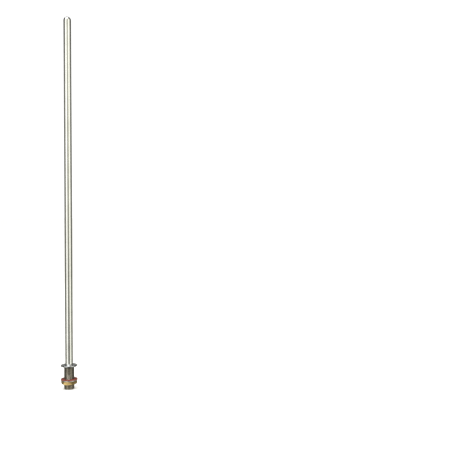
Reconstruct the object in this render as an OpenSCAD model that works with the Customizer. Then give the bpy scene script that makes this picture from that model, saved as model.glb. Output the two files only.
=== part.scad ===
// Laboratory upright rod in a flush bench socket.
// A solid round rod stands in the tapered bore of a flanged socket. The socket's threaded
// shank hangs down through a hole in the bench top, where washers and a lock nut hold it.
// Frame: +Z up along the rod, origin on its axis in the plane of the bench's upper face.

/* [Rod] */
// Diameter of the rod
rod_d = 19.05; // [18:0.05:19.5]
// Whole length of the rod, with its tapered foot and round tip
rod_l = 914.4; // [300:0.1:1200]
// Length of the tapered foot that sits in the socket
foot_l = 46.5; // [30:0.5:50]
// Length over which the foot and its bore lose one unit of diameter
taper_run = 24; // [20:1:40]

/* [Socket] */
// Outer diameter of the flange
flange_d = 41.3; // [40:0.1:50]
// Thickness of the flange at its rim
flange_t = 2.2; // [2:0.1:4]
// Width of the raised rim outside the groove
rim_w = 2.2; // [1:0.1:3]
// Depth of the round-bottomed groove between rim and hub
groove_d = 1.1; // [0.5:0.1:1.5]
// Diameter of the hub around the rod
hub_d = 24.6; // [24:0.1:26]
// Height of the hub above the flange's underside
hub_h = 3.2; // [3:0.1:6]
// Major diameter of the threaded shank
shank_d = 25.4; // [25:0.1:28]
// Reach of the shank below the bench's upper face
shank_l = 57.15; // [55:0.05:70]
// Depth of the undercut where the thread meets the flange
undercut_d = 1.1; // [0.5:0.1:1.5]

/* [Bench fastening] */
// Thickness of the bench top that the socket grips
bench_t = 31.75; // [19:0.25:32]
// Diameter of the hole through the bench top
bench_hole_d = 27; // [26.5:0.1:29]
// Thickness of the gasket under the flange
gasket_t = 1; // [0.8:0.1:2]
// Outer diameter of the fibre and steel washers
washer_d = 41.3; // [38:0.1:46]
// Thickness of the fibre washer
fibre_t = 1.6; // [1:0.1:2]
// Thickness of the flat steel washer
steel_t = 2; // [1.5:0.1:3]
// Thickness of the toothed lock washer
star_t = 1.2; // [0.8:0.1:1.5]
// Number of internal teeth on the lock washer
star_teeth = 14; // [10:1:20]
// Width of the lock nut across its flats
nut_af = 34.9; // [33:0.1:38]
// Height of the lock nut
nut_h = 8; // [6:0.5:9]

/* [Hidden] */
// Radial play of the rod's foot in its bore, and of the nut on the thread's crests
running_play = 0.05;
// Radial play of the loose washers around the shank
washer_play = 0.5;
// Rounded edges and chamfers of the turned parts
hub_edge = 0.9;
mouth_chamfer = 0.7;
end_chamfer = 1;
// Distance that the groove's arc runs on below the hub's edge
groove_lap = 0.4;
// Depth of the lock washer's teeth and share of the pitch that each tooth fills
tooth_l = 3.2;
tooth_share = 0.62;

rod_r = rod_d / 2;
shank_r = shank_d / 2;
hub_top = gasket_t + hub_h;
flange_top = gasket_t + flange_t;
flange_edge = flange_t * 0.45;
rod_end = hub_top - foot_l;
rod_tip = rod_end + rod_l;
fibre_top = -bench_t;
steel_top = fibre_top - fibre_t;
star_top = steel_top - steel_t;
nut_top = star_top - star_t;
nut_bore_r = shank_r + running_play;
nut_corner_r = nut_af / 2 / cos(30);
$fn = 96;

// Radius of the rod's tapered foot at height z, and of the bore around it.
function foot_r(z) = rod_r - (hub_top - z) / taper_run / 2;
function bore_r(z) = foot_r(z) + running_play;

// Half outline, from the axis outwards, of a disc with a rounded upper edge.
module disc_outline(radius, bottom, top, edge) {
    translate([0, bottom]) square([radius, top - bottom - edge]);
    translate([0, bottom]) square([radius - edge, top - bottom]);
    translate([radius - edge, top - edge]) circle(r = edge);
}

// Half outline of the round-bottomed groove in the flange's upper face.
module groove_outline() {
    inner = hub_d / 2 - groove_lap;
    outer = flange_d / 2 - rim_w;
    half_w = (outer - inner) / 2;
    arc_r = (half_w * half_w + groove_d * groove_d) / groove_d / 2;
    translate([inner + half_w, flange_top - groove_d + arc_r]) circle(r = arc_r);
}

// Half outline of the shank: undercut below the flange, thread crests, chamfered end.
module shank_outline() {
    undercut_r = shank_r - undercut_d;
    polygon([[0, gasket_t + 0.5], [undercut_r, gasket_t + 0.5], [undercut_r, -2 * undercut_d],
             [shank_r, -3 * undercut_d], [shank_r, end_chamfer - shank_l],
             [shank_r - end_chamfer, -shank_l], [0, -shank_l]]);
}

// Half outline of the tapered bore, reamed right through, with a chamfered mouth.
module bore_outline() {
    low = -shank_l - 1;
    mouth_z = hub_top - mouth_chamfer;
    polygon([[0, low], [bore_r(low), low], [bore_r(mouth_z), mouth_z],
             [bore_r(hub_top) + mouth_chamfer, hub_top], [bore_r(hub_top) + mouth_chamfer, hub_top + 1],
             [0, hub_top + 1]]);
}

// Flat ring with its upper face at the given height.
module ring(outer_d, inner_d, top, thickness) {
    translate([0, 0, top - thickness])
        difference() {
            cylinder(d = outer_d, h = thickness);
            translate([0, 0, -1]) cylinder(d = inner_d, h = thickness + 2);
        }
}

// Solid rod: chamfered end, tapered foot, straight length and half-round tip.
module upright_rod() {
    color([0.80, 0.80, 0.78]) {
        rotate_extrude()
            polygon([[0, rod_end], [foot_r(rod_end) - end_chamfer / 2, rod_end],
                     [foot_r(rod_end + end_chamfer), rod_end + end_chamfer], [rod_r, hub_top],
                     [rod_r, rod_tip - rod_r], [0, rod_tip - rod_r]]);
        translate([0, 0, rod_tip - rod_r])
            intersection() {
                sphere(r = rod_r);
                translate([-rod_d, -rod_d, -end_chamfer]) cube([2 * rod_d, 2 * rod_d, rod_d]);
            }
    }
}

// Turned socket: rim, groove and hub above the bench, threaded shank below it.
module socket_body() {
    color([0.78, 0.79, 0.80])
        difference() {
            union() {
                difference() {
                    rotate_extrude() disc_outline(flange_d / 2, gasket_t, flange_top, flange_edge);
                    rotate_extrude() groove_outline();
                }
                rotate_extrude() disc_outline(hub_d / 2, gasket_t, hub_top, hub_edge);
                rotate_extrude() shank_outline();
            }
            rotate_extrude() bore_outline();
        }
}

// Rubber ring pressed flat between the flange and the bench top.
module flange_gasket() {
    color([0.06, 0.06, 0.06]) ring(flange_d - 1, bench_hole_d, gasket_t, gasket_t);
}

// Hard fibre ring that bears on the underside of the bench top.
module fibre_washer() {
    color([0.45, 0.16, 0.10]) ring(washer_d, shank_d + 2 * washer_play, fibre_top, fibre_t);
}

// Flat plated washer that spreads the nut's load.
module steel_washer() {
    color([0.66, 0.67, 0.69]) ring(washer_d, shank_d + 2 * washer_play, steel_top, steel_t);
}

// Ring with internal teeth that bite the nut and the flat washer.
module lock_washer() {
    hole_r = shank_r + washer_play;
    gap_w = 2 * PI * hole_r / star_teeth * (1 - tooth_share);
    color([0.58, 0.59, 0.61])
        difference() {
            ring(nut_af + 1, 2 * hole_r, star_top, star_t);
            for (i = [0 : star_teeth - 1])
                rotate([0, 0, i * 360 / star_teeth])
                    translate([hole_r - 1, -gap_w / 2, star_top - star_t - 1])
                        cube([tooth_l + 1, gap_w, star_t + 2]);
        }
}

// Thin hexagon nut, its corners chamfered on both faces.
module lock_nut() {
    corner_drop = nut_corner_r - nut_af / 2;
    color([0.80, 0.62, 0.30])
        translate([0, 0, nut_top - nut_h])
            difference() {
                intersection() {
                    cylinder(r = nut_corner_r, h = nut_h, $fn = 6);
                    rotate_extrude()
                        polygon([[0, 0], [nut_af / 2, 0], [nut_corner_r, corner_drop / 2],
                                 [nut_corner_r, nut_h - corner_drop / 2], [nut_af / 2, nut_h], [0, nut_h]]);
                }
                translate([0, 0, -1]) cylinder(r = nut_bore_r, h = nut_h + 2);
                for (end = [0, 1])
                    translate([0, 0, end * nut_h])
                        mirror([0, 0, end])
                            translate([0, 0, -0.01])
                                cylinder(r1 = nut_bore_r + end_chamfer, r2 = nut_bore_r, h = end_chamfer);
            }
}

upright_rod();
socket_body();
flange_gasket();
fibre_washer();
steel_washer();
lock_washer();
lock_nut();
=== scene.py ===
from math import atan2, cos, degrees, floor, hypot, pi, radians, sin, sqrt, tan

import bmesh
import bpy
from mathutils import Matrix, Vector, noise


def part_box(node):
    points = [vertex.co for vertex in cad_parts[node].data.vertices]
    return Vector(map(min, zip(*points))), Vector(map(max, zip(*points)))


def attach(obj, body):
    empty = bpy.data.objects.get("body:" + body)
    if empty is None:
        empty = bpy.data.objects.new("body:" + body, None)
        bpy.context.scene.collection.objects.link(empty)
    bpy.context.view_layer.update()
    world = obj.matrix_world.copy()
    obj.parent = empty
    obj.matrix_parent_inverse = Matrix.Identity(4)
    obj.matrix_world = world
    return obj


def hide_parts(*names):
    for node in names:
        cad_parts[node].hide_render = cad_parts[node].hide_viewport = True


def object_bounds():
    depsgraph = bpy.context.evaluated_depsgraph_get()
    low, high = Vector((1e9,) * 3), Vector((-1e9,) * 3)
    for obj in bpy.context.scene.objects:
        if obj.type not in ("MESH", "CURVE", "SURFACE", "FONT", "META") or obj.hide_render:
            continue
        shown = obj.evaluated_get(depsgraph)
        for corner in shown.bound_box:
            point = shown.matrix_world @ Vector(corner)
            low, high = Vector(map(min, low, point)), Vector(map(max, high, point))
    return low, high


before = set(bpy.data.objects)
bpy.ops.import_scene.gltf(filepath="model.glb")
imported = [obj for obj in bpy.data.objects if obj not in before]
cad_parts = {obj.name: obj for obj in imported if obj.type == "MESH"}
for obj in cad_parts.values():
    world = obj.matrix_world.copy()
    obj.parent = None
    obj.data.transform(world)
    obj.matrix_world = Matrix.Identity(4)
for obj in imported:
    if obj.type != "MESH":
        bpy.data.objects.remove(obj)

cad_low, cad_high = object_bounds()


# --- Camera ---------------------------------------------------------------------------------
# A slightly long lens looks almost level from 0.4 m above the bench top. The rod stands well to
# the left of its axis, which gives it a faint lean.
CAMERA_DIP = 1.396              # degrees below level
camera_data = bpy.data.cameras.new("bench_camera")
camera_data.sensor_width = 36
camera_data.lens = 55
camera = bpy.data.objects.new("bench_camera", camera_data)
camera.location = (0.3919, -1.7195, 0.3964)
camera.rotation_euler = (radians(90 - CAMERA_DIP), 0, 0)
bpy.context.scene.collection.objects.link(camera)
bpy.context.scene.camera = camera


# --- Floor and studio light -----------------------------------------------------------------
# A pale painted floor lies just under the end of the shank. A white tent gives even light. Two
# wide softboxes in front, two narrow ones behind and one high up in front draw bright bands on
# the metal.
def linear_colour(code):
    """Linear RGBA from an sRGB hex code such as #C8CACC."""
    parts = [int(code[i:i + 2], 16) / 255 for i in (1, 3, 5)]
    return [c / 12.92 if c <= 0.04045 else ((c + 0.055) / 1.055) ** 2.4 for c in parts] + [1]


def add_node(tree, kind, inputs=None, stops=(), **settings):
    """Adds a node, sets its properties and ramp stops, fills its inputs with values or links."""
    node = tree.nodes.new(kind)
    for name, value in settings.items():
        setattr(node, name, value)
    for name, value in (inputs or {}).items():
        if isinstance(value, bpy.types.NodeSocket):
            tree.links.new(value, node.inputs[name])
        else:
            node.inputs[name].default_value = value
    for _ in stops[2:]:
        node.color_ramp.elements.new(0.5)
    for i, (position, code) in enumerate(stops):
        node.color_ramp.elements[i].position = position
        node.color_ramp.elements[i].color = linear_colour(code)
    return node


def new_material(name):
    """A material with its node tree, its shader and the socket that gives object coordinates."""
    material = bpy.data.materials.new(name)
    material.use_nodes = True
    tree = material.node_tree
    place = add_node(tree, "ShaderNodeTexCoord").outputs["Object"]
    return material, tree, tree.nodes["Principled BSDF"], place


def floor_paint():
    """Dead flat emulsion paint on a smooth screed: nearly white, with a faint roller mottle."""
    material, tree, shader, place = new_material("flat_emulsion_paint")
    mottle = add_node(tree, "ShaderNodeTexNoise", {"Vector": place, "Scale": 9, "Detail": 3})
    tone = add_node(tree, "ShaderNodeValToRGB", {"Fac": mottle.outputs["Fac"]},
                    stops=[(0.3, "#F3F2EE"), (0.7, "#F6F5F2")])
    tree.links.new(tone.outputs["Color"], shader.inputs["Base Color"])
    shader.inputs["Roughness"].default_value = 0.9
    shader.inputs["Specular IOR Level"].default_value = 0
    return material


FLOOR_RADIUS = 30
floor_bm = bmesh.new()
bmesh.ops.create_circle(floor_bm, cap_ends=True, segments=64, radius=FLOOR_RADIUS)
bmesh.ops.translate(floor_bm, verts=floor_bm.verts, vec=(0, 0, cad_low[2]))
floor_mesh = bpy.data.meshes.new("studio_floor")
floor_bm.to_mesh(floor_mesh)
floor_bm.free()
floor_mesh.materials.append(floor_paint())
studio_floor = bpy.data.objects.new("studio_floor", floor_mesh)
studio_floor.visible_glossy = False
bpy.context.scene.collection.objects.link(studio_floor)

CAMERA_SIDE = atan2(camera.location.x, -camera.location.y)     # seen from the rod
SIDE_DISTANCE = 2.4
SIDE_HEIGHT = 6


def softbox(name, turn, rise, distance, width, height, radiance, colour):
    """An area light that faces the rod's middle. turn and rise give its direction from there in
    degrees, turn from the camera to the right and rise from level."""
    light = bpy.data.lights.new(name, "AREA")
    light.shape = "RECTANGLE"
    light.size = width
    light.size_y = height
    light.energy = radiance * pi * width * height
    light.color = linear_colour(colour)[:3]
    lamp = bpy.data.objects.new(name, light)
    around = CAMERA_SIDE + radians(turn)
    level = distance * cos(radians(rise))
    target = Vector((0, 0, (cad_low[2] + cad_high[2]) / 2))
    away = Vector((level * sin(around), -level * cos(around), distance * sin(radians(rise))))
    lamp.location = target + away
    lamp.rotation_euler = away.to_track_quat("Z", "Y").to_euler()
    lamp.visible_camera = False
    bpy.context.scene.collection.objects.link(lamp)


for name, turn, half_angle, radiance, colour in (
        ("left_softbox", -49.3, 23.7, 1.0, "#FFFFFA"),
        ("right_softbox", 48, 23, 0.93, "#FCFCF1"),
        ("left_back_strip", -164, 8, 0.45, "#FFFFFF"),
        ("right_back_strip", 164, 8, 0.45, "#FFFFFF")):
    width = 2 * SIDE_DISTANCE * tan(radians(half_angle))
    softbox(name, turn, 0, SIDE_DISTANCE, width, SIDE_HEIGHT, radiance, colour)
softbox("overhead_softbox", turn=-32, rise=71, distance=2.6, width=2.0, height=2.0, radiance=2.8,
        colour="#FFFFFF")

# Inside the tent, metal mirrors a room whose tone changes from the ground up, with other tones
# towards its front. Everything else is lit by plain white.
FRONT_STARTS = radians(60)      # angles from CAMERA_SIDE
FRONT_FULL = radians(35)
TENT_STRENGTH = 1.15
world = bpy.data.worlds.new("white_tent")
bpy.context.scene.world = world
world.use_nodes = True
sky = world.node_tree
sky.nodes.clear()
direction = add_node(sky, "ShaderNodeTexCoord").outputs["Generated"]
height = add_node(sky, "ShaderNodeSeparateXYZ", {"Vector": direction}).outputs["Z"]
upright = add_node(sky, "ShaderNodeMapRange", {"Value": height, "From Min": -1, "From Max": 1})
room = add_node(sky, "ShaderNodeValToRGB", {"Fac": upright.outputs["Result"]}, stops=[
    (0.30, "#9C9C96"), (0.42, "#6C6C63"), (0.60, "#74746D"), (0.69, "#3E3E3A"), (1, "#4E4E4A")])
front = add_node(sky, "ShaderNodeValToRGB", {"Fac": upright.outputs["Result"]}, stops=[
    (0.30, "#B4B4AE"), (0.38, "#60605A"), (0.50, "#9C9C90"), (0.63, "#C6C6BA"), (1, "#8A8A85")])
facing = add_node(sky, "ShaderNodeVectorMath", {
    0: direction, 1: (sin(CAMERA_SIDE), -cos(CAMERA_SIDE), 0)}, operation="DOT_PRODUCT")
front_share = add_node(sky, "ShaderNodeMapRange", {
    "Value": facing.outputs["Value"], "From Min": cos(FRONT_STARTS),
    "From Max": cos(FRONT_FULL)})
studio = add_node(sky, "ShaderNodeMix", {
    "Factor": front_share.outputs["Result"], "A": room.outputs["Color"],
    "B": front.outputs["Color"]}, data_type="RGBA")
path = add_node(sky, "ShaderNodeLightPath")
studio_light = add_node(sky, "ShaderNodeBackground", {"Color": studio.outputs["Result"]})
tent_light = add_node(sky, "ShaderNodeBackground", {
    "Color": linear_colour("#FFFFFF"), "Strength": TENT_STRENGTH})
metal_sees = add_node(sky, "ShaderNodeMixShader", {
    0: path.outputs["Is Glossy Ray"], 1: tent_light.outputs[0], 2: studio_light.outputs[0]})
add_node(sky, "ShaderNodeOutputWorld", {"Surface": metal_sees.outputs[0]})
bpy.context.scene.view_settings.view_transform = "Standard"


# --- Upright rod ----------------------------------------------------------------------------
# A solid bar of drawn aluminium, polished along its length. The lathe rounds its top end to a
# half ball and cuts the long shallow taper on its foot that wedges in the socket.
MM = 0.001
AROUND = 96                     # mesh columns round a turned piece
WELD = 1e-7                     # points closer than this are one point
SHARP_ANGLE = radians(35)       # edges steeper than this are shaded sharp
BALL_STEPS = 16


def arc(centre, radius, start, end, steps):
    """Points (r, z) on an arc, its angles in degrees from the outward direction."""
    angles = [radians(start + (end - start) * i / steps) for i in range(steps + 1)]
    return [(centre[0] + radius * cos(a), centre[1] + radius * sin(a)) for a in angles]


def turn_outline(outline, closed=False):
    """Spins an outline of (r, z) points about the Z axis, as a lathe would turn it."""
    bm = bmesh.new()
    corners = [bm.verts.new((r, 0, z)) for r, z in outline]
    for a, b in zip(corners, corners[1:]):
        bm.edges.new((a, b))
    if closed:
        bm.edges.new((corners[-1], corners[0]))
    bmesh.ops.spin(bm, geom=bm.verts[:] + bm.edges[:], cent=(0, 0, 0), axis=(0, 0, 1),
                   dvec=(0, 0, 0), angle=2 * pi, steps=AROUND, use_merge=True)
    bmesh.ops.remove_doubles(bm, verts=bm.verts, dist=WELD)
    bmesh.ops.recalc_face_normals(bm, faces=bm.faces)
    return bm


def make_piece(name, bm, materials, body):
    """Makes the finished mesh an object that stands for its CAD node and rides on its body."""
    mesh = bpy.data.meshes.new(name)
    bm.to_mesh(mesh)
    bm.free()
    for material in materials:
        mesh.materials.append(material)
    mesh.shade_smooth()
    mesh.set_sharp_from_angle(angle=SHARP_ANGLE)
    piece = bpy.data.objects.new(name + "_piece", mesh)
    bpy.context.scene.collection.objects.link(piece)
    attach(piece, body)
    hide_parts(name)
    return piece


def radius_and_height(tree, place):
    """Two sockets that give the distance from the Z axis and the height."""
    parts = add_node(tree, "ShaderNodeSeparateXYZ", {"Vector": place}).outputs
    flat = add_node(tree, "ShaderNodeCombineXYZ", {"X": parts["X"], "Y": parts["Y"]})
    radius = add_node(tree, "ShaderNodeVectorMath", {0: flat.outputs["Vector"]},
                      operation="LENGTH")
    return radius.outputs["Value"], parts["Z"]


def turned_lines(tree, place, spacing):
    """Fine rings that a tool leaves on turned work: noise of the radius and the height only."""
    radius, z = radius_and_height(tree, place)
    section = add_node(tree, "ShaderNodeCombineXYZ", {"X": radius, "Y": z})
    return add_node(tree, "ShaderNodeTexNoise", {
        "Vector": section.outputs["Vector"], "Scale": 1 / spacing, "Detail": 2,
        "Roughness": 0.7}).outputs["Fac"]


rod_low, rod_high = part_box("upright_rod")
socket_low, socket_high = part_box("socket_body")
rod_r = rod_high.x
hub_top = socket_high.z
TAPER_RUN = 24                  # the foot loses 1 in diameter over this length
end_chamfer = 1 * MM


def foot_radius(z):
    """Radius of the rod's tapered foot at height z. The taper ends level with the hub's top."""
    return rod_r - (hub_top - z) / TAPER_RUN / 2


def drawn_aluminium():
    """Drawn bar polished lengthwise: bright, with straight draw lines and a faint grey bloom.
    The ball end and the foot show the rings of the lathe instead."""
    material, tree, shader, place = new_material("polished_drawn_aluminium")
    patterns = []
    for width, length in ((0.3 * MM, 60 * MM), (1.2 * MM, 250 * MM)):   # real lines are 0.05 mm
        stretched = add_node(tree, "ShaderNodeMapping", {
            "Vector": place, "Scale": (1 / width, 1 / width, 1 / length)})
        patterns.append(add_node(tree, "ShaderNodeTexNoise", {
            "Vector": stretched.outputs["Vector"], "Scale": 1, "Detail": 2,
            "Roughness": 0.6}).outputs["Fac"])
    fine, broad = patterns
    rings = turned_lines(tree, place, 0.3 * MM)
    z = add_node(tree, "ShaderNodeSeparateXYZ", {"Vector": place}).outputs["Z"]
    on_ball = add_node(tree, "ShaderNodeMath", {0: z, 1: rod_high.z - rod_r},
                       operation="GREATER_THAN")
    on_foot = add_node(tree, "ShaderNodeMath", {0: z, 1: hub_top}, operation="LESS_THAN")
    turned = add_node(tree, "ShaderNodeMath", {
        0: on_ball.outputs["Value"], 1: on_foot.outputs["Value"]}, operation="ADD")
    deep_rings = add_node(tree, "ShaderNodeMath", {0: rings, 1: 2.5}, operation="MULTIPLY")
    marks = add_node(tree, "ShaderNodeMix", {
        "Factor": turned.outputs["Value"], "A": fine, "B": deep_rings.outputs["Value"]})
    bloom = add_node(tree, "ShaderNodeTexNoise", {
        "Vector": place, "Scale": 1 / (35 * MM), "Detail": 4})
    clouded = add_node(tree, "ShaderNodeMath", {0: bloom.outputs["Fac"], 1: broad},
                       operation="ADD")
    shine = add_node(tree, "ShaderNodeMapRange", {
        "Value": clouded.outputs["Value"], "From Min": 0.7, "From Max": 1.3,
        "To Min": 0.05, "To Max": 0.13})
    streaks = add_node(tree, "ShaderNodeMath", {
        0: marks.outputs["Result"], 1: 0.06, 2: shine.outputs["Result"]},
        operation="MULTIPLY_ADD")
    tree.links.new(streaks.outputs["Value"], shader.inputs["Roughness"])
    half_tone = add_node(tree, "ShaderNodeMath", {0: clouded.outputs["Value"], 1: 0.5},
                         operation="MULTIPLY")
    tone = add_node(tree, "ShaderNodeValToRGB", {"Fac": half_tone.outputs["Value"]},
                    stops=[(0.35, "#E4E4E0"), (0.5, "#F2F2EF"), (0.65, "#F9F9F7")])
    tree.links.new(tone.outputs["Color"], shader.inputs["Base Color"])
    relief = add_node(tree, "ShaderNodeBump", {
        "Height": marks.outputs["Result"], "Strength": 0.35, "Distance": 0.01 * MM})
    tree.links.new(relief.outputs["Normal"], shader.inputs["Normal"])
    shader.inputs["Metallic"].default_value = 1
    return material


ball = arc((0, rod_high.z - rod_r), rod_r, 0, 90, BALL_STEPS)
rod_outline = [(0, rod_low.z), (foot_radius(rod_low.z) - end_chamfer / 2, rod_low.z),
               (foot_radius(rod_low.z + end_chamfer), rod_low.z + end_chamfer),
               (rod_r, hub_top)] + ball
make_piece("upright_rod", turn_outline(rod_outline), [drawn_aluminium()], "rod")


# --- Rod socket -----------------------------------------------------------------------------
# A brass bar turned to a low hub, a round-bottomed groove and a raised rim, with a parallel
# thread cut on the shank. The whole is nickelled and the head chromed, and then the tapered
# bore is reamed.
PITCH = 25.4 / 14 * MM
THREAD_DEPTH = 0.5413 * PITCH   # 60 degrees, with flats of 1/8 pitch on crests, 1/4 in roots
THREAD_ROUNDING = 0.06 * MM
THREAD_STEPS = 5                # cuts that let the thread follow a chamfer
TOLERANCE = 1e-6
shank_r = 12.7 * MM
undercut_r = 11.6 * MM
undercut_low = -2.2 * MM
head_end = undercut_low + 0.3 * MM
thread_top = undercut_low + 0.1 * MM
running_play = 0.05 * MM
mouth_chamfer = 0.7 * MM
hub_r = 12.3 * MM
hub_edge = 0.9 * MM
flange_r = socket_high.x
flange_low = 1 * MM
flange_top = 3.2 * MM
flange_edge = 0.99 * MM
underside_edge = 0.15 * MM
groove_centre = (15.175 * MM, 7.525 * MM)
groove_r = 5.425 * MM
GROOVE_STEPS = 14
EDGE_STEPS = 8
UNDERSIDE_STEPS = 3


def thread_surface(crest_r, low, high, cuts, limit):
    """One right-handed thread between two heights. It is cut at the heights in cuts too, and
    limit(radius, z) then trims it to chamfers and reliefs."""
    root_r = crest_r - THREAD_DEPTH
    soft = THREAD_ROUNDING
    flat = PITCH / 16 - soft / 2
    hollow = PITCH / 8 - soft
    profile = [(crest_r - soft / 2, -flat - soft), (crest_r, -flat),
               (crest_r, flat), (crest_r - soft / 2, flat + soft),
               (root_r + soft, PITCH / 2 - hollow - 1.5 * soft),
               (root_r, PITCH / 2 - hollow), (root_r, PITCH / 2 + hollow),
               (root_r + soft, PITCH / 2 + hollow + 1.5 * soft)]
    first, last = floor(low / PITCH) - 2, floor(high / PITCH) + 2
    bm = bmesh.new()
    corners = [bm.verts.new((r, 0, turn * PITCH + z))
               for turn in range(first, last) for r, z in profile]
    for a, b in zip(corners, corners[1:]):
        bm.edges.new((a, b))
    bmesh.ops.spin(bm, geom=bm.verts[:] + bm.edges[:], cent=(0, 0, 0), axis=(0, 0, 1),
                   dvec=(0, 0, PITCH / AROUND), angle=2 * pi, steps=AROUND)
    bmesh.ops.remove_doubles(bm, verts=bm.verts, dist=TOLERANCE)
    for z in [low, high] + cuts:
        everything = bm.verts[:] + bm.edges[:] + bm.faces[:]
        bmesh.ops.bisect_plane(bm, geom=everything, dist=WELD, plane_co=(0, 0, z),
                               plane_no=(0, 0, 1), clear_inner=z == low,
                               clear_outer=z == high)
    for vert in bm.verts:
        radius = hypot(vert.co.x, vert.co.y)
        share = limit(radius, vert.co.z) / radius
        vert.co.x *= share
        vert.co.y *= share
    bmesh.ops.remove_doubles(bm, verts=bm.verts, dist=TOLERANCE)
    return bm


def join_shells(outer, inner):
    """Puts two open shells in one mesh and closes the gap between their ends, top and bottom."""
    spare = bpy.data.meshes.new("spare")
    inner.to_mesh(spare)
    inner.free()
    outer.from_mesh(spare)
    bpy.data.meshes.remove(spare)
    open_edges = [edge for edge in outer.edges if edge.is_boundary]
    heights = [edge.verts[0].co.z for edge in open_edges]
    middle = (min(heights) + max(heights)) / 2
    for upper in (True, False):
        ends = [edge for edge in open_edges if (edge.verts[0].co.z > middle) == upper]
        bmesh.ops.bridge_loops(outer, edges=ends)
    bmesh.ops.recalc_face_normals(outer, faces=outer.faces)
    return outer


def shank_limit(radius, z):
    """The shank's thread runs into a chamfer at its end and an undercut under the flange."""
    end_r = shank_r - end_chamfer + (z - socket_low.z)
    relief_r = undercut_r + max(0, undercut_low - z)
    return min(radius, end_r, relief_r)


def bore_radius(z):
    """Radius of the tapered bore at height z."""
    return foot_radius(z) + running_play


def chrome_plate():
    """Bright decorative chrome over buffed brass: a cool mirror with fine buffing rings, a
    little haze, and painted shade that darkens the rim low down, where it sits on the gasket."""
    material, tree, shader, place = new_material("chrome_plate_on_buffed_brass")
    rings = turned_lines(tree, place, 0.2 * MM)
    haze = add_node(tree, "ShaderNodeTexNoise", {
        "Vector": place, "Scale": 1 / (6 * MM), "Detail": 5})
    shine = add_node(tree, "ShaderNodeMapRange", {
        "Value": haze.outputs["Fac"], "From Min": 0.35, "From Max": 0.7,
        "To Min": 0.05, "To Max": 0.14})
    roughness = add_node(tree, "ShaderNodeMath", {
        0: rings, 1: 0.06, 2: shine.outputs["Result"]}, operation="MULTIPLY_ADD")
    tree.links.new(roughness.outputs["Value"], shader.inputs["Roughness"])
    z = add_node(tree, "ShaderNodeSeparateXYZ", {"Vector": place}).outputs["Z"]
    # Painted shade: the colour darkens over the lowest 0.5 mm of the rim, where it sits on the
    # gasket, in patches of the haze.
    rim_underside_shade = add_node(tree, "ShaderNodeMapRange", {
        "Value": z, "From Min": flange_low, "From Max": flange_low + 0.5 * MM,
        "To Min": 1, "To Max": 0})
    painted_rim_shade = add_node(tree, "ShaderNodeMath", {
        0: rim_underside_shade.outputs["Result"], 1: haze.outputs["Fac"]}, operation="MULTIPLY")
    tone = add_node(tree, "ShaderNodeValToRGB", {"Fac": painted_rim_shade.outputs["Value"]},
                    stops=[(0, "#D3D5D8"), (0.25, "#B9B9B6"), (0.6, "#8B8A84")])
    tree.links.new(tone.outputs["Color"], shader.inputs["Base Color"])
    relief = add_node(tree, "ShaderNodeBump", {
        "Height": rings, "Strength": 0.12, "Distance": 0.01 * MM})
    tree.links.new(relief.outputs["Normal"], shader.inputs["Normal"])
    shader.inputs["Metallic"].default_value = 1
    return material


def nickelled_thread():
    """Nickel on a cut thread: warmer and duller than the chrome, lighter on the crests where the
    nut has worn them, and darker in the roots as painted shade."""
    material, tree, shader, place = new_material("nickel_plate_on_cut_thread")
    radius = radius_and_height(tree, place)[0]
    stain = add_node(tree, "ShaderNodeTexNoise", {
        "Vector": place, "Scale": 1 / (4 * MM), "Detail": 5})
    # Lighter towards the crests, which the nut has worn, and painted shade darker towards the
    # roots.
    rise = add_node(tree, "ShaderNodeMapRange", {
        "Value": radius, "From Min": shank_r - THREAD_DEPTH, "From Max": shank_r})
    crest_wear_and_root_shade = add_node(tree, "ShaderNodeMath", {
        0: stain.outputs["Fac"], 1: 0.5, 2: rise.outputs["Result"]}, operation="MULTIPLY_ADD")
    tone = add_node(tree, "ShaderNodeValToRGB", {"Fac": crest_wear_and_root_shade.outputs["Value"]},
                    stops=[(0.2, "#5E594E"), (0.6, "#A6A095"), (1, "#CFCABD")])
    tree.links.new(tone.outputs["Color"], shader.inputs["Base Color"])
    roughness = add_node(tree, "ShaderNodeMapRange", {
        "Value": crest_wear_and_root_shade.outputs["Value"], "From Min": 0.2, "From Max": 1.2,
        "To Min": 0.48, "To Max": 0.2})
    tree.links.new(roughness.outputs["Result"], shader.inputs["Roughness"])
    relief = add_node(tree, "ShaderNodeBump", {
        "Height": turned_lines(tree, place, 0.12 * MM), "Strength": 0.25, "Distance": 0.01 * MM})
    tree.links.new(relief.outputs["Normal"], shader.inputs["Normal"])
    shader.inputs["Metallic"].default_value = 1
    return material


def reamed_brass():
    """The bore is reamed after plating, so it shows bare yellow brass with fine cutter rings."""
    material, tree, shader, place = new_material("reamed_brass")
    rings = turned_lines(tree, place, 0.25 * MM)
    tone = add_node(tree, "ShaderNodeValToRGB", {"Fac": rings},
                    stops=[(0.3, "#C29A55"), (0.7, "#DDBB78")])
    tree.links.new(tone.outputs["Color"], shader.inputs["Base Color"])
    roughness = add_node(tree, "ShaderNodeMapRange", {
        "Value": rings, "From Min": 0.3, "From Max": 0.7, "To Min": 0.2, "To Max": 0.34})
    tree.links.new(roughness.outputs["Result"], shader.inputs["Roughness"])
    relief = add_node(tree, "ShaderNodeBump", {
        "Height": rings, "Strength": 0.3, "Distance": 0.01 * MM})
    tree.links.new(relief.outputs["Normal"], shader.inputs["Normal"])
    shader.inputs["Metallic"].default_value = 1
    return material


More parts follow.
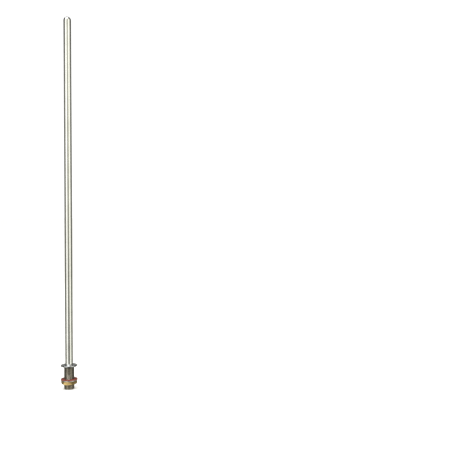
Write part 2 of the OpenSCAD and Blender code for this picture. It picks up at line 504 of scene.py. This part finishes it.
mouth_z = hub_top - mouth_chamfer
from_hub = groove_centre[0] - hub_r
above_rim = groove_centre[1] - flange_top
groove_start = -90 - degrees(atan2(from_hub, sqrt(groove_r ** 2 - from_hub ** 2)))
groove_end = -90 + degrees(atan2(sqrt(groove_r ** 2 - above_rim ** 2), above_rim))
head_outline = (
    [(bore_radius(socket_low.z), socket_low.z), (bore_radius(mouth_z), mouth_z),
     (bore_radius(hub_top) + mouth_chamfer, hub_top)]
    + arc((hub_r - hub_edge, hub_top - hub_edge), hub_edge, 90, 0, EDGE_STEPS)
    + arc(groove_centre, groove_r, groove_start, groove_end, GROOVE_STEPS)
    + arc((flange_r - flange_edge, flange_top - flange_edge), flange_edge, 90, 0, EDGE_STEPS)
    + arc((flange_r - underside_edge, flange_low + underside_edge), underside_edge, 0, -90,
          UNDERSIDE_STEPS)
    + [(undercut_r, flange_low), (undercut_r, head_end)])
trims = ([socket_low.z + end_chamfer * i / THREAD_STEPS for i in range(1, THREAD_STEPS + 1)]
         + [undercut_low - (shank_r - undercut_r) * i / THREAD_STEPS
            for i in range(THREAD_STEPS + 1)])
socket_bm = join_shells(turn_outline(head_outline), thread_surface(
    shank_r, socket_low.z, thread_top, trims, shank_limit))
NICKEL, BARE = 1, 2             # the head keeps material 0, the chrome
for face in socket_bm.faces:
    centre = face.calc_center_median()
    in_bore = hypot(centre.x, centre.y) < bore_radius(hub_top) and centre.z < mouth_z
    if in_bore and centre.z > socket_low.z + end_chamfer:
        face.material_index = BARE
    elif centre.z < 0:
        face.material_index = NICKEL
make_piece("socket_body", socket_bm, [chrome_plate(), nickelled_thread(), reamed_brass()],
           "socket")


# --- Flange gasket --------------------------------------------------------------------------
# A ring die-cut from black sheet rubber and slipped over the shank. The tightened flange presses
# it flat on the bench top, so its outer edge bulges a little.
CORNER_STEPS = 5


def ring_outline(inner_r, outer_r, low, high, edges):
    """Closed outline of a ring. edges are the radii of its four corners, from the inner lower
    one by way of the outer lower one."""
    corners = [(inner_r, low, 1, 1, 180), (outer_r, low, -1, 1, 270),
               (outer_r, high, -1, -1, 0), (inner_r, high, 1, -1, 90)]
    outline = []
    for (r, z, inwards, upwards, start), edge in zip(corners, edges):
        centre = (r + inwards * edge, z + upwards * edge)
        outline += arc(centre, edge, start, start + 90, CORNER_STEPS)
    return outline


def sheet_rubber():
    """Die-cut sheet rubber: matt black with a grey bloom, and the fine weave that its pressing
    cloth leaves on both faces."""
    material, tree, shader, place = new_material("die_cut_sheet_rubber")
    cloth_pitch = 0.6 * MM
    bloom = add_node(tree, "ShaderNodeTexNoise", {
        "Vector": place, "Scale": 1 / (5 * MM), "Detail": 5})
    weave = [add_node(tree, "ShaderNodeTexWave", {
        "Vector": place, "Scale": 1 / cloth_pitch / pi, "Distortion": 0.6},
        bands_direction=way).outputs["Fac"] for way in "XY"]
    crossing = add_node(tree, "ShaderNodeMath", {0: weave[0], 1: weave[1]}, operation="MULTIPLY")
    tone = add_node(tree, "ShaderNodeValToRGB", {"Fac": bloom.outputs["Fac"]},
                    stops=[(0.3, "#17171A"), (0.6, "#222224"), (0.8, "#343433")])
    tree.links.new(tone.outputs["Color"], shader.inputs["Base Color"])
    roughness = add_node(tree, "ShaderNodeMapRange", {
        "Value": bloom.outputs["Fac"], "From Min": 0.3, "From Max": 0.7,
        "To Min": 0.62, "To Max": 0.85})
    tree.links.new(roughness.outputs["Result"], shader.inputs["Roughness"])
    relief = add_node(tree, "ShaderNodeBump", {
        "Height": crossing.outputs["Value"], "Strength": 0.5, "Distance": 0.05 * MM})
    tree.links.new(relief.outputs["Normal"], shader.inputs["Normal"])
    shader.inputs["IOR"].default_value = 1.52
    return material


gasket_low, gasket_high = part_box("flange_gasket")
GASKET_BORE_R = 13.5 * MM
gasket_bulge = 0.46 * MM
gasket_bore_edge = 0.1 * MM
gasket_bm = turn_outline(ring_outline(
    GASKET_BORE_R, gasket_high.x, gasket_low.z, gasket_high.z,
    [gasket_bore_edge, gasket_bulge, gasket_bulge, gasket_bore_edge]), closed=True)
make_piece("flange_gasket", gasket_bm, [sheet_rubber()], "socket")


# --- Fibre washer ---------------------------------------------------------------------------
# A ring punched from red vulcanised fibre, a hard board of pressed paper, which keeps the steel
# off the underside of the bench top. Punching leaves its outer edge slightly torn.
def vulcanised_fibre():
    """Red fibre board: a dull waxy face with darker and paler fibres laid one way, in clouds."""
    material, tree, shader, place = new_material("punched_vulcanised_fibre")
    fibre = (0.3 * MM, 3 * MM)
    laid = add_node(tree, "ShaderNodeMapping", {
        "Vector": place, "Rotation": (0, 0, radians(25)),
        "Scale": (1 / fibre[0], 1 / fibre[1], 1 / fibre[0])})
    fibres = add_node(tree, "ShaderNodeTexNoise", {
        "Vector": laid.outputs["Vector"], "Scale": 1, "Detail": 4, "Roughness": 0.7})
    cloud = add_node(tree, "ShaderNodeTexNoise", {
        "Vector": place, "Scale": 1 / (7 * MM), "Detail": 4})
    mixed = add_node(tree, "ShaderNodeMath", {
        0: fibres.outputs["Fac"], 1: cloud.outputs["Fac"]}, operation="ADD")
    tone = add_node(tree, "ShaderNodeValToRGB", {"Fac": mixed.outputs["Value"]}, stops=[
        (0.75, "#5A1E17"), (0.95, "#7C2F24"), (1, "#91402F")])
    tree.links.new(tone.outputs["Color"], shader.inputs["Base Color"])
    roughness = add_node(tree, "ShaderNodeMapRange", {
        "Value": cloud.outputs["Fac"], "From Min": 0.3, "From Max": 0.7,
        "To Min": 0.5, "To Max": 0.72})
    tree.links.new(roughness.outputs["Result"], shader.inputs["Roughness"])
    relief = add_node(tree, "ShaderNodeBump", {
        "Height": fibres.outputs["Fac"], "Strength": 0.5, "Distance": 0.04 * MM})
    tree.links.new(relief.outputs["Normal"], shader.inputs["Normal"])
    shader.inputs["IOR"].default_value = 1.5
    return material


fibre_low, fibre_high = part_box("fibre_washer")
WASHER_BORE_R = 13.2 * MM
fibre_bore_edge = 0.15 * MM
fibre_rim_edge = 0.3 * MM
torn_band = 0.35 * MM
torn_depth = 0.12 * MM
torn_length = 1.6 * MM
fibre_bm = turn_outline(ring_outline(
    WASHER_BORE_R, fibre_high.x, fibre_low.z, fibre_high.z,
    [fibre_bore_edge, fibre_rim_edge, fibre_rim_edge, fibre_bore_edge]), closed=True)
for vert in fibre_bm.verts:
    radius = hypot(vert.co.x, vert.co.y)
    if radius > fibre_high.x - torn_band:
        tear = torn_depth * (0.5 + 0.5 * noise.noise(vert.co / torn_length))
        vert.co.x *= 1 - tear / radius
        vert.co.y *= 1 - tear / radius
make_piece("fibre_washer", fibre_bm, [vulcanised_fibre()], "washers")


# --- Steel washer ---------------------------------------------------------------------------
# A flat washer blanked from steel strip and zinc plated. The punch rolls its upper edges and
# leaves the lower ones nearly square.
def zinc_plate(name):
    """Electroplated zinc on blanked steel: cool grey that turns to blue and straw in patches, a
    soft sheen, and random handling scratches."""
    material, tree, shader, place = new_material(name)
    patch = add_node(tree, "ShaderNodeTexNoise", {
        "Vector": place, "Scale": 1 / (8 * MM), "Detail": 5})
    tone = add_node(tree, "ShaderNodeValToRGB", {"Fac": patch.outputs["Fac"]}, stops=[
        (0.3, "#AEB4BC"), (0.5, "#BDBFBF"), (0.7, "#C6C3B2")])
    scratches = []
    for turn in (20, 95, 150):
        laid = add_node(tree, "ShaderNodeMapping", {
            "Vector": place, "Rotation": (0, 0, radians(turn)),
            "Scale": (1 / (0.2 * MM), 1 / (6 * MM), 1 / (2 * MM))})
        scratches.append(add_node(tree, "ShaderNodeTexNoise", {
            "Vector": laid.outputs["Vector"], "Scale": 1, "Detail": 1}).outputs["Fac"])
    crossed = add_node(tree, "ShaderNodeMath", {0: scratches[0], 1: scratches[1]},
                       operation="MAXIMUM")
    scored = add_node(tree, "ShaderNodeMath", {
        0: crossed.outputs["Value"], 1: scratches[2]}, operation="MAXIMUM")
    line = add_node(tree, "ShaderNodeMapRange", {
        "Value": scored.outputs["Value"], "From Min": 0.66, "From Max": 0.76})
    scuffed = add_node(tree, "ShaderNodeMix", {
        "Factor": line.outputs["Result"], "A": tone.outputs["Color"],
        "B": linear_colour("#DADCDD")}, data_type="RGBA")
    tree.links.new(scuffed.outputs["Result"], shader.inputs["Base Color"])
    roughness = add_node(tree, "ShaderNodeMapRange", {
        "Value": patch.outputs["Fac"], "From Min": 0.3, "From Max": 0.7,
        "To Min": 0.24, "To Max": 0.42})
    tree.links.new(roughness.outputs["Result"], shader.inputs["Roughness"])
    relief = add_node(tree, "ShaderNodeBump", {
        "Height": line.outputs["Result"], "Strength": 0.3, "Distance": 0.02 * MM}, invert=True)
    tree.links.new(relief.outputs["Normal"], shader.inputs["Normal"])
    shader.inputs["Metallic"].default_value = 1
    return material


steel_low, steel_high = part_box("steel_washer")
steel_square_edge = 0.06 * MM
steel_rim_roll = 0.45 * MM
steel_bore_roll = 0.35 * MM
steel_bm = turn_outline(ring_outline(
    WASHER_BORE_R, steel_high.x, steel_low.z, steel_high.z,
    [steel_square_edge, steel_square_edge, steel_rim_roll, steel_bore_roll]), closed=True)
make_piece("steel_washer", steel_bm, [zinc_plate("zinc_plate_on_blanked_steel")],
           "washers")


# --- Lock washer ----------------------------------------------------------------------------
# A ring stamped from spring steel strip and zinc plated. Its inner teeth are twisted, so that
# their edges bite the nut below and the flat washer above.
TEETH = 14
COLUMNS = 16                    # mesh columns in one tooth and its gap
GAP_COLUMNS = 6                 # those in the gap
TOOTH_RINGS = 6
RIM_RINGS = 3
tooth_angle = 2 * pi / TEETH
gap_side = tooth_angle * GAP_COLUMNS / COLUMNS / 2
strip_t = 0.7 * MM
tooth_root_r = 16.4 * MM
tooth_twist = radians(7.2)
twist_run = 1.6 * MM            # the twist grows over this length from the root
punch_corner = 0.45 * MM
tumbled_edge = 0.08 * MM
star_low, star_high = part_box("lock_washer")
star_middle = (star_low.z + star_high.z) / 2
star_bm = bmesh.new()
tooth_rings = [WASHER_BORE_R + (tooth_root_r - WASHER_BORE_R) * i / TOOTH_RINGS
               for i in range(TOOTH_RINGS + 1)]
rim_rings = [tooth_root_r + (star_high.x - tooth_root_r) * i / RIM_RINGS
             for i in range(1, RIM_RINGS + 1)]
spoke = [star_bm.verts.new((r, 0, star_middle)) for r in tooth_rings + rim_rings]
for a, b in zip(spoke, spoke[1:]):
    star_bm.edges.new((a, b))
bmesh.ops.spin(star_bm, geom=star_bm.verts[:] + star_bm.edges[:], cent=(0, 0, 0),
               axis=(0, 0, 1), dvec=(0, 0, 0), angle=2 * pi, steps=TEETH * COLUMNS,
               use_merge=True)


def from_gap(co):
    """Angle from the middle of the nearest gap between teeth, signed."""
    angle = atan2(co.y, co.x)
    return angle - tooth_angle * floor(angle / tooth_angle + 0.5)


punched = [face for face in star_bm.faces
           if face.calc_center_median().xy.length < tooth_root_r
           and abs(from_gap(face.calc_center_median())) < gap_side]
bmesh.ops.delete(star_bm, geom=punched, context="FACES")
for vert in star_bm.verts:
    radius = vert.co.xy.length
    gap = from_gap(vert.co)
    if abs(radius - tooth_root_r) < TOLERANCE and abs(abs(gap) - gap_side) < 100 * TOLERANCE:
        vert.co.xy *= 1 - punch_corner / radius
    if radius < tooth_root_r - TOLERANCE:
        across = radius * (gap - tooth_angle / 2 if gap > 0 else gap + tooth_angle / 2)
        share = min(1, (tooth_root_r - radius) / twist_run)
        vert.co.z += across * sin(tooth_twist * share)
bmesh.ops.recalc_face_normals(star_bm, faces=star_bm.faces)
lock_washer = make_piece("lock_washer", star_bm, [zinc_plate("zinc_plate_on_spring_steel")],
                         "washers")
strip = lock_washer.modifiers.new("strip_thickness", "SOLIDIFY")
strip.thickness = strip_t
strip.offset = 0
tumbled = lock_washer.modifiers.new("tumbled_edges", "BEVEL")
tumbled.width = tumbled_edge
tumbled.segments = 2
tumbled.limit_method = "ANGLE"
tumbled.angle_limit = radians(40)


# --- Lock nut -------------------------------------------------------------------------------
# A thin nut sawn from hexagon brass bar, faced and chamfered on both sides and tapped to match
# the shank. It pulls the flange down on the bench top.
nut_low, nut_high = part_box("lock_nut")
nut_flat_r = nut_high.x * cos(radians(30))
nut_face_r = 0.97 * nut_flat_r
nut_side_start = 1 * MM
CHAMFER_SLOPE = 0.5
tap_play = 0.08 * MM
sink_r = 13.2 * MM              # a 120 degree countersink opens the thread at each face
sink_slope = tan(radians(60))
sink_step = 0.16 * MM
sink_lip = 0.25 * MM
face_inner_r = sink_r + sink_lip
soft_edge = 0.18 * MM
soft_angle = radians(20)        # edges steeper than this are softened
hexagon_step = radians(60)


def tap_limit(radius, z):
    """The nut's thread opens into a countersink at each face."""
    depth = min(z - nut_low.z, nut_high.z - z)
    return max(radius, sink_r - depth * sink_slope)


def turned_brass():
    """Machined brass gone a little brown: facing rings, brighter towards the corners where the
    spanner has rubbed, and darker stain towards the thread."""
    material, tree, shader, place = new_material("machined_brass")
    rings = turned_lines(tree, place, 0.3 * MM)
    stain = add_node(tree, "ShaderNodeTexNoise", {
        "Vector": place, "Scale": 1 / (5 * MM), "Detail": 6})
    wear = add_node(tree, "ShaderNodeMapRange", {
        "Value": radius_and_height(tree, place)[0], "From Min": shank_r, "From Max": nut_high.x})
    clean = add_node(tree, "ShaderNodeMath", {
        0: stain.outputs["Fac"], 1: 0.8, 2: wear.outputs["Result"]}, operation="MULTIPLY_ADD")
    tone = add_node(tree, "ShaderNodeValToRGB", {"Fac": clean.outputs["Value"]}, stops=[
        (0.3, "#7A5A2C"), (0.6, "#B08A48"), (0.85, "#CDA75E"), (1, "#E3C484")])
    tree.links.new(tone.outputs["Color"], shader.inputs["Base Color"])
    dull = add_node(tree, "ShaderNodeMapRange", {
        "Value": clean.outputs["Value"], "From Min": 0.3, "From Max": 1.1,
        "To Min": 0.42, "To Max": 0.16})
    roughness = add_node(tree, "ShaderNodeMath", {
        0: rings, 1: 0.1, 2: dull.outputs["Result"]}, operation="MULTIPLY_ADD")
    tree.links.new(roughness.outputs["Value"], shader.inputs["Roughness"])
    relief = add_node(tree, "ShaderNodeBump", {
        "Height": rings, "Strength": 0.3, "Distance": 0.02 * MM})
    tree.links.new(relief.outputs["Normal"], shader.inputs["Normal"])
    shader.inputs["Metallic"].default_value = 1
    return material


nut_bm = turn_outline([
    (face_inner_r, nut_low.z), (nut_face_r, nut_low.z),
    (nut_flat_r, nut_low.z + nut_side_start), (nut_flat_r, nut_high.z - nut_side_start),
    (nut_face_r, nut_high.z), (face_inner_r, nut_high.z)])
for vert in nut_bm.verts:
    radius = vert.co.xy.length
    if abs(radius - nut_flat_r) < TOLERANCE:
        angle = atan2(vert.co.y, vert.co.x)
        from_flat = angle - hexagon_step * (floor(angle / hexagon_step) + 0.5)
        hexagon_r = nut_flat_r / cos(from_flat)
        drop = (hexagon_r - nut_face_r) * CHAMFER_SLOPE
        upper = vert.co.z > (nut_low.z + nut_high.z) / 2
        vert.co.xy *= hexagon_r / radius
        vert.co.z = nut_high.z - drop if upper else nut_low.z + drop
sharp = [edge for edge in nut_bm.edges
         if not edge.is_boundary and edge.calc_face_angle() > soft_angle]
bmesh.ops.bevel(nut_bm, geom=sharp, offset=soft_edge, offset_type="OFFSET", segments=2,
                profile=0.5, affect="EDGES", material=-1)
sink_cuts = [z for i in range(1, THREAD_STEPS + 1)
             for z in (nut_low.z + sink_step * i, nut_high.z - sink_step * i)]
nut_bm = join_shells(nut_bm, thread_surface(
    shank_r + tap_play, nut_low.z, nut_high.z, sink_cuts, tap_limit))
make_piece("lock_nut", nut_bm, [turned_brass()], "nut")
